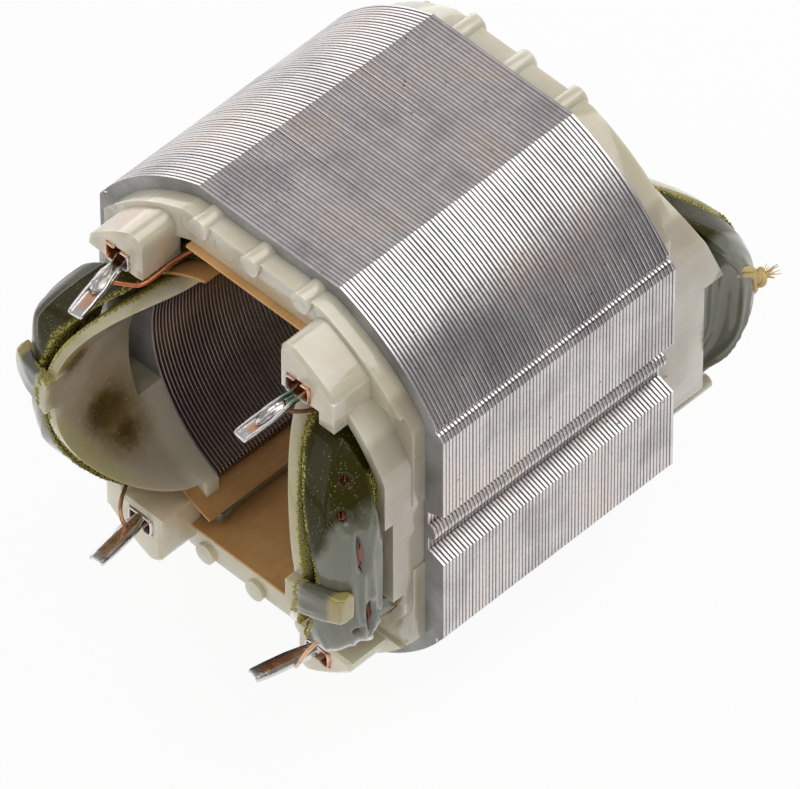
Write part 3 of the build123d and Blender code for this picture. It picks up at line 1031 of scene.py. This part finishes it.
def crumbTree():
    tree, given, result = newTree("resinCrumbs", [
        ("Density", "Float"), ("Crumb Size", "Float"), ("Seed", "Int"), ("Finish", "Material"),
    ])
    scatter = addNode(tree, "GeometryNodeDistributePointsOnFaces", {
        "Mesh": given.outputs["Geometry"], "Density": given.outputs["Density"], "Seed": given.outputs["Seed"],
    })
    ball = addNode(tree, "GeometryNodeMeshIcoSphere", {
        "Subdivisions": 1, "Radius": given.outputs["Crumb Size"],
    })
    smallest, largest = crumbs["spread"]
    size = addNode(tree, "FunctionNodeRandomValue", {
        2: smallest, 3: largest, "Seed": given.outputs["Seed"],
    }, data_type="FLOAT")
    place = addNode(tree, "GeometryNodeInstanceOnPoints", {
        "Points": scatter.outputs["Points"],
        "Instance": ball.outputs["Mesh"],
        "Rotation": scatter.outputs["Rotation"],
        "Scale": size.outputs[1],
    })
    return endRealised(tree, given, result, place.outputs[0])


def onCoil(middle, side):
    # the coil's inner side is left out, because the flange hides it
    outside = math.hypot(middle.x, middle.z) > crumbs["hiddenRadius"]
    seen = outside or outlineDepth(middle) < crumbs["hiddenDepth"]
    return seen and crustShare(middle, side) > crumbs["leastCrust"]


def onFlange(middle, side):
    # the flange's back, near its rim, where resin fills the gap to the coil
    inner, outer = crumbs["gapRadius"]
    away = math.hypot(middle.x, middle.z)
    patchy = noise.noise(middle * 240 + Vector((0, side, 2)))
    nearRim = outlineDepth(middle) < (crumbs["gapDepth"] + crumbs["gapRagged"] * patchy) * mm
    return inner < away < outer and abs(middle.y) > crumbs["gapStart"] and nearRim


def makeCrumbs(name, source, side, tree, keeps, density, size):
    bm = bmesh.new()
    bm.from_mesh(source.data)
    bmesh.ops.triangulate(bm, faces=bm.faces)
    if keeps is onFlange:
        long = [e for e in bm.edges if e.calc_length() > crumbs["longest"]]
        bmesh.ops.subdivide_edges(bm, edges=long, cuts=12)
    away = [f for f in bm.faces if not keeps(f.calc_center_median(), side)]
    bmesh.ops.delete(bm, geom=away, context="FACES")
    obj = meshPiece(name, bm, residue)
    runTree(obj, tree, {
        "Density": density,
        "Crumb Size": size,
        "Seed": crumbs["seed"] + side,
        "Finish": residue,
    })
    obj.data.shade_smooth()
    print(name, "has", len(obj.data.polygons), "faces")
    return finish(obj, "coil_varnish")


scatterCrumbs = crumbTree()
for side, name in ((1, "right"), (-1, "left")):
    makeCrumbs(name + "Crumbs", coils[side], side, scatterCrumbs, onCoil, crumbs["density"], crumbs["size"])
for side, name in ((-1, "front"), (1, "rear")):
    makeCrumbs(name + "Crumbs", mouldings[side], side, scatterCrumbs, onFlange,
               crumbs["gapDensity"], crumbs["gapSize"])
print("crumbs are scattered")


# terminals: a folded sleeve in each socket, with a channel leg that holds the wire

clip = {
    "mouth": -25.3 * mm,
    "sleeveDepth": 5.4 * mm,
    "sleeveWidth": 3.36 * mm,
    "sleeveHeight": 2.26 * mm,
    "sheet": 0.32 * mm,
    "sleeveRows": 7,
    "sleeveBack": 0.4 * mm,
    "sleeveShape": [(0.22, 0.86), (0.42, 1), (0.82, 1), (1, 0.8), (1, -0.8), (0.82, -1), (0, -1)],
    "legLength": 7.9 * mm,
    "legRoot": 0.9 * mm,
    "legShape": [(-0.78, 1.0), (-1, 0.85), (-1, 0.3), (-0.85, 0.02), (0, 0), (0.85, 0.02), (1, 0.3),
                 (1, 0.85), (0.78, 1.0)],
    "swayLength": 8.6,
    "wave": 0.12,
    "tinRim": 0.42 * mm,
    "tinFade": 0.12 * mm,
    "tinStart": 0.12,
    "tinTip": 0.97,
    "widths": [(0.0, 1.5), (0.14, 1.1), (0.3, 1.45), (0.5, 1.8), (0.8, 1.8), (1.0, 1.6)],
    "heights": [(0.0, 1.0), (0.14, 0.8), (0.3, 0.85), (0.6, 0.62), (1.0, 0.42)],
    "stations": 15,
}
terminals = {
    "top_right": {
        "middle": (12.1, 19.9), "drop": 9.0, "sway": -1.0, "solder": (4.6, 0.66, 2.0),
        "wire": [(13.5, -21.8, 15.8), (12.9, -24.6, 16.4), (12.2, -26.6, 17.4), (11.9, -27.9, 18.7)],
    },
    "top_left": {
        "middle": (-14.6, 19.9), "drop": 9.0, "sway": 1.2, "solder": (3.2, 1.05, 2.3),
        "wire": [(-9.6, -18.0, 19.6), (-10.9, -20.2, 18.6), (-10.9, -23.0, 18.2), (-10.9, -25.5, 18.2),
                 (-12.2, -26.6, 18.3), (-13.6, -27.6, 18.5), (-14.3, -28.2, 18.7)],
    },
    "bottom_left": {
        "middle": (-12.1, -19.9), "drop": 3.0, "sway": 1.0, "solder": (3.6, 1.0, 2.4),
        "wire": [(-14.0, -25.4, -15.2), (-12.8, -27.6, -15.0), (-12.1, -28.4, -16.6), (-11.9, -27.9, -18.6),
                 (-11.9, -27.4, -19.6)],
    },
    "bottom_right": {
        "middle": (14.6, -19.9), "drop": 3.0, "sway": -2.4, "solder": (2.2, 0.85, 1.5),
        "wire": [(19.2, -28.2, -10.4), (18.7, -30.6, -11.6), (17.2, -30.8, -15.0), (15.4, -29.6, -18.2),
                 (14.2, -27.8, -19.6)],
    },
}


def reading(table, t):
    for (t0, v0), (t1, v1) in zip(table, table[1:]):
        if t <= t1:
            return (v0 + (v1 - v0) * (t - t0) / (t1 - t0)) * mm
    return table[-1][1] * mm


def bentStrip(bm, rows):
    # joins rows of points into a strip of sheet metal
    grid = [[bm.verts.new(p) for p in row] for row in rows]
    for near, far in zip(grid, grid[1:]):
        for k in range(len(near) - 1):
            bm.faces.new((near[k], near[k + 1], far[k + 1], far[k]))


def sleeveRow(middle, y, flip):
    # a flattened C with its gap away from the stator's axis
    half = clip["sleeveWidth"] / 2
    tall = clip["sleeveHeight"] / 2
    shape = clip["sleeveShape"] + [(-a, b) for a, b in reversed(clip["sleeveShape"][:-1])]
    return [Vector((middle.x + a * half, y, middle.z + b * tall * flip)) for a, b in shape]


def makeTerminal(place, facts):
    across, height = facts["middle"]
    flip = 1 if height > 0 else -1
    middle = Vector((across * mm, 0, height * mm))
    bm = bmesh.new()
    last = clip["sleeveRows"] - 1
    bentStrip(bm, [
        sleeveRow(middle, clip["mouth"] + clip["sleeveDepth"] * (1 - k / last) - clip["sleeveBack"], flip)
        for k in range(clip["sleeveRows"])])
    drop = math.radians(facts["drop"])
    ahead = Vector((facts["sway"] / clip["swayLength"], -math.cos(drop), -math.sin(drop))).normalized()
    aside = ahead.cross(Vector((0, 0, 1))).normalized()
    up = aside.cross(ahead).normalized() * flip
    root = Vector((middle.x, clip["mouth"] + clip["legRoot"], middle.z - flip * clip["sleeveHeight"] / 2))
    rows = []
    for k in range(clip["stations"]):
        t = k / (clip["stations"] - 1)
        half = reading(clip["widths"], t) / 2
        tall = reading(clip["heights"], t)
        start = root + ahead * (clip["legLength"] + clip["legRoot"]) * t
        wave = noise.noise(Vector((t * 6, across, flip))) * clip["wave"] * mm
        rows.append([start + aside * (a * half + wave * b) + up * (b * tall + wave * (1 - abs(a)))
                     for a, b in clip["legShape"]])
    bentStrip(bm, rows)
    obj = meshPiece(place + "Clip", bm, copper)
    thick = obj.modifiers.new("sheet", "SOLIDIFY")
    thick.thickness = clip["sheet"]
    thick.offset = 0
    thick.use_even_offset = True
    soft = obj.modifiers.new("soft", "SUBSURF")
    soft.levels = 2
    soft.render_levels = 2
    settle(obj)
    tins = []
    for vert in obj.data.vertices:
        away = vert.co - root
        t = clamped(away.dot(ahead) / clip["legLength"])
        rim = abs(away.dot(aside)) - (reading(clip["widths"], t) / 2 - clip["tinRim"])
        tin = clamped(rim / clip["tinFade"]) + (0.6 if t > clip["tinTip"] else 0)
        tins.append(0.0 if t < clip["tinStart"] else tin)
    storeValues(obj.data, "tin", tins)
    turnOutwards(obj)
    finish(obj, "clip_copper", place + "_terminal_clip")
    makeSolder(place, facts["solder"], root, ahead, aside, up)
    makeWire(place, facts["wire"])


def turnOutwards(obj):
    bm = bmesh.new()
    bm.from_mesh(obj.data)
    bmesh.ops.recalc_face_normals(bm, faces=bm.faces)
    bm.to_mesh(obj.data)
    bm.free()
    obj.data.shade_smooth()


lump = {"rise": 0.42, "thickness": 0.58, "detail": 4, "broad": 0.28, "fine": 0.10}


def makeSolder(place, lumpSize, root, ahead, aside, up):
    # how far along the leg the lump sits, its half width and its half length
    along, half, length = lumpSize
    bm = bmesh.new()
    bmesh.ops.create_icosphere(bm, subdivisions=lump["detail"], radius=1.0)
    middle = root + ahead * along * mm + up * lump["rise"] * mm
    for vert in bm.verts:
        d = vert.co.copy()
        broad = lump["broad"] * noise.noise(d * 1.7 + root * 900)
        fine = lump["fine"] * noise.noise(d * 4 + root * 500)
        size = Vector((half, length, lump["thickness"])) * (1 + broad + fine) * mm
        vert.co = middle + aside * d.x * size.x + ahead * d.y * size.y + up * d.z * size.z
    bmesh.ops.recalc_face_normals(bm, faces=bm.faces)
    obj = meshPiece(place + "Solder", bm, solder)
    finish(obj, "solder_tin", place + "_solder_joint")


wireLook = {"diameter": 0.48 * mm}


def curvePiece(name, routes, thickness, material):
    data = bpy.data.curves.new(name, "CURVE")
    data.dimensions = "3D"
    data.bevel_depth = thickness / 2
    data.bevel_resolution = 4
    data.use_fill_caps = True
    data.resolution_u = 12
    for route in routes:
        line = data.splines.new("NURBS")
        line.points.add(len(route) - 1)
        for point, place in zip(line.points, route):
            point.co = (*place, 1)
        line.order_u = 3
        line.use_endpoint_u = True
    obj = linked(name, data)
    graph = bpy.context.evaluated_depsgraph_get()
    mesh = bpy.data.meshes.new_from_object(obj.evaluated_get(graph))
    bpy.data.objects.remove(obj)
    coatWith(mesh, material)
    mesh.shade_smooth()
    return linked(name, mesh)


def makeWire(place, route):
    # the top left wire has red enamel, and the others are bare
    points = [Vector(p) * mm for p in route]
    material, slot = (enamel, "red_enamel") if place == "top_left" else (bareWire, "copper_wire")
    obj = curvePiece(place + "Wire", [points], wireLook["diameter"], material)
    finish(obj, slot, place + "_lead_wire")


for place, facts in terminals.items():
    makeTerminal(place, facts)
print("terminals are folded and soldered")


# lacing with its frayed knot

lace = {
    "cord": 0.72 * mm,
    "middle": (21.4, 28.6),
    "turns": [(132, -3.0), (124, -3.1), (104, -3.2), (84, -2.7), (68, -1.4), (58, 0.6), (50, 2.4), (40, 3.5),
              (28, 4.0), (20, 4.1)],
    "sink": 0.16 * mm,
    "spread": 0.3,
    "knotTurn": (60, 1.0),
    "knotRise": 0.9,
    "loopPoints": 15,
    "loopSize": (0.62, 0.22),
    "loopRise": 0.35,
    "fibreLength": (1.0, 2.2),
    "fibreBend": 0.45,
    "farthest": (25.2 * mm, 35.9 * mm),
    "strands": 34,
    "strand": 0.10 * mm,
    "seed": 5,
}


def makeLacing(side):
    name = "right" if side > 0 else "left"
    skin = BVHTree.FromObject(coils[side], bpy.context.evaluated_depsgraph_get())

    def onSkin(turn, z, lift):
        # a place on the coil's skin, looked for from the middle of its end turns
        a = math.radians(turn)
        start = Vector((side * lace["middle"][0] * mm, lace["middle"][1] * mm, z * mm))
        way = Vector((side * math.cos(a), math.sin(a), 0))
        return skin.ray_cast(start, way)[0] + way * lift, way

    def held(p):
        # no fibre stands beyond the part's own width and length
        across, back = lace["farthest"]
        return Vector((max(-across, min(across, p.x)), min(back, p.y), p.z))

    routes = []
    for shift in (-lace["spread"], lace["spread"]):
        rise = lace["cord"] / 2 - lace["sink"]
        last = len(lace["turns"]) - 1
        routes.append([onSkin(turn + shift * 3, z + shift * (1 + 0.4 * math.sin(turn)),
                              -lace["cord"] if k in (0, last) else rise)[0]
                       for k, (turn, z) in enumerate(lace["turns"])])
    knot, way = onSkin(*lace["knotTurn"], lace["cord"] * lace["knotRise"])
    across = Vector((-way.y, way.x, 0))
    upright = Vector((0, 0, 1))
    loop = []
    size, swing = lace["loopSize"]
    for k in range(lace["loopPoints"]):
        a = k * 2 * math.pi / 7
        r = (size + swing * math.cos(1.5 * a)) * mm
        loop.append(held(knot + upright * (r * 1.3 * math.cos(a)) + across * (r * math.sin(a))
                         + way * (lace["loopRise"] * mm * math.sin(1.5 * a))))
    routes.append(loop)
    obj = curvePiece(name + "Lacing", routes, lace["cord"], cord)
    finish(obj, "lacing_cord", name + "_coil_lacing")
    random.seed(lace["seed"] + side)
    strands = []
    for _ in range(lace["strands"]):
        lean = Vector((random.uniform(-1, 1), random.uniform(-1, 1), random.uniform(-1, 1)))
        length = random.uniform(*lace["fibreLength"]) * mm
        aim = (way + Vector((0, 0.9, 0)) + lean * 0.8).normalized() * length
        bend = Vector([random.uniform(-lace["fibreBend"], lace["fibreBend"]) * mm for _ in range(3)])
        strands.append([held(knot + aim * t + bend * t * t) for t in (0.1, 0.45, 0.8, 1.0)])
    fray = curvePiece(name + "Fray", strands, lace["strand"], cord)
    finish(fray, "lacing_cord")


makeLacing(1)
makeLacing(-1)
print("lacing is tied")


# what stays as the CAD gives it, with its finish

for end in ("top", "bottom"):
    coatWith(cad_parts[end + "_slot_liner"].data, paper)
    for side in ("left", "right"):
        coatWith(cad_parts[end + "_" + side + "_closing_strip"].data, stripPaper)
print("papers are dressed")
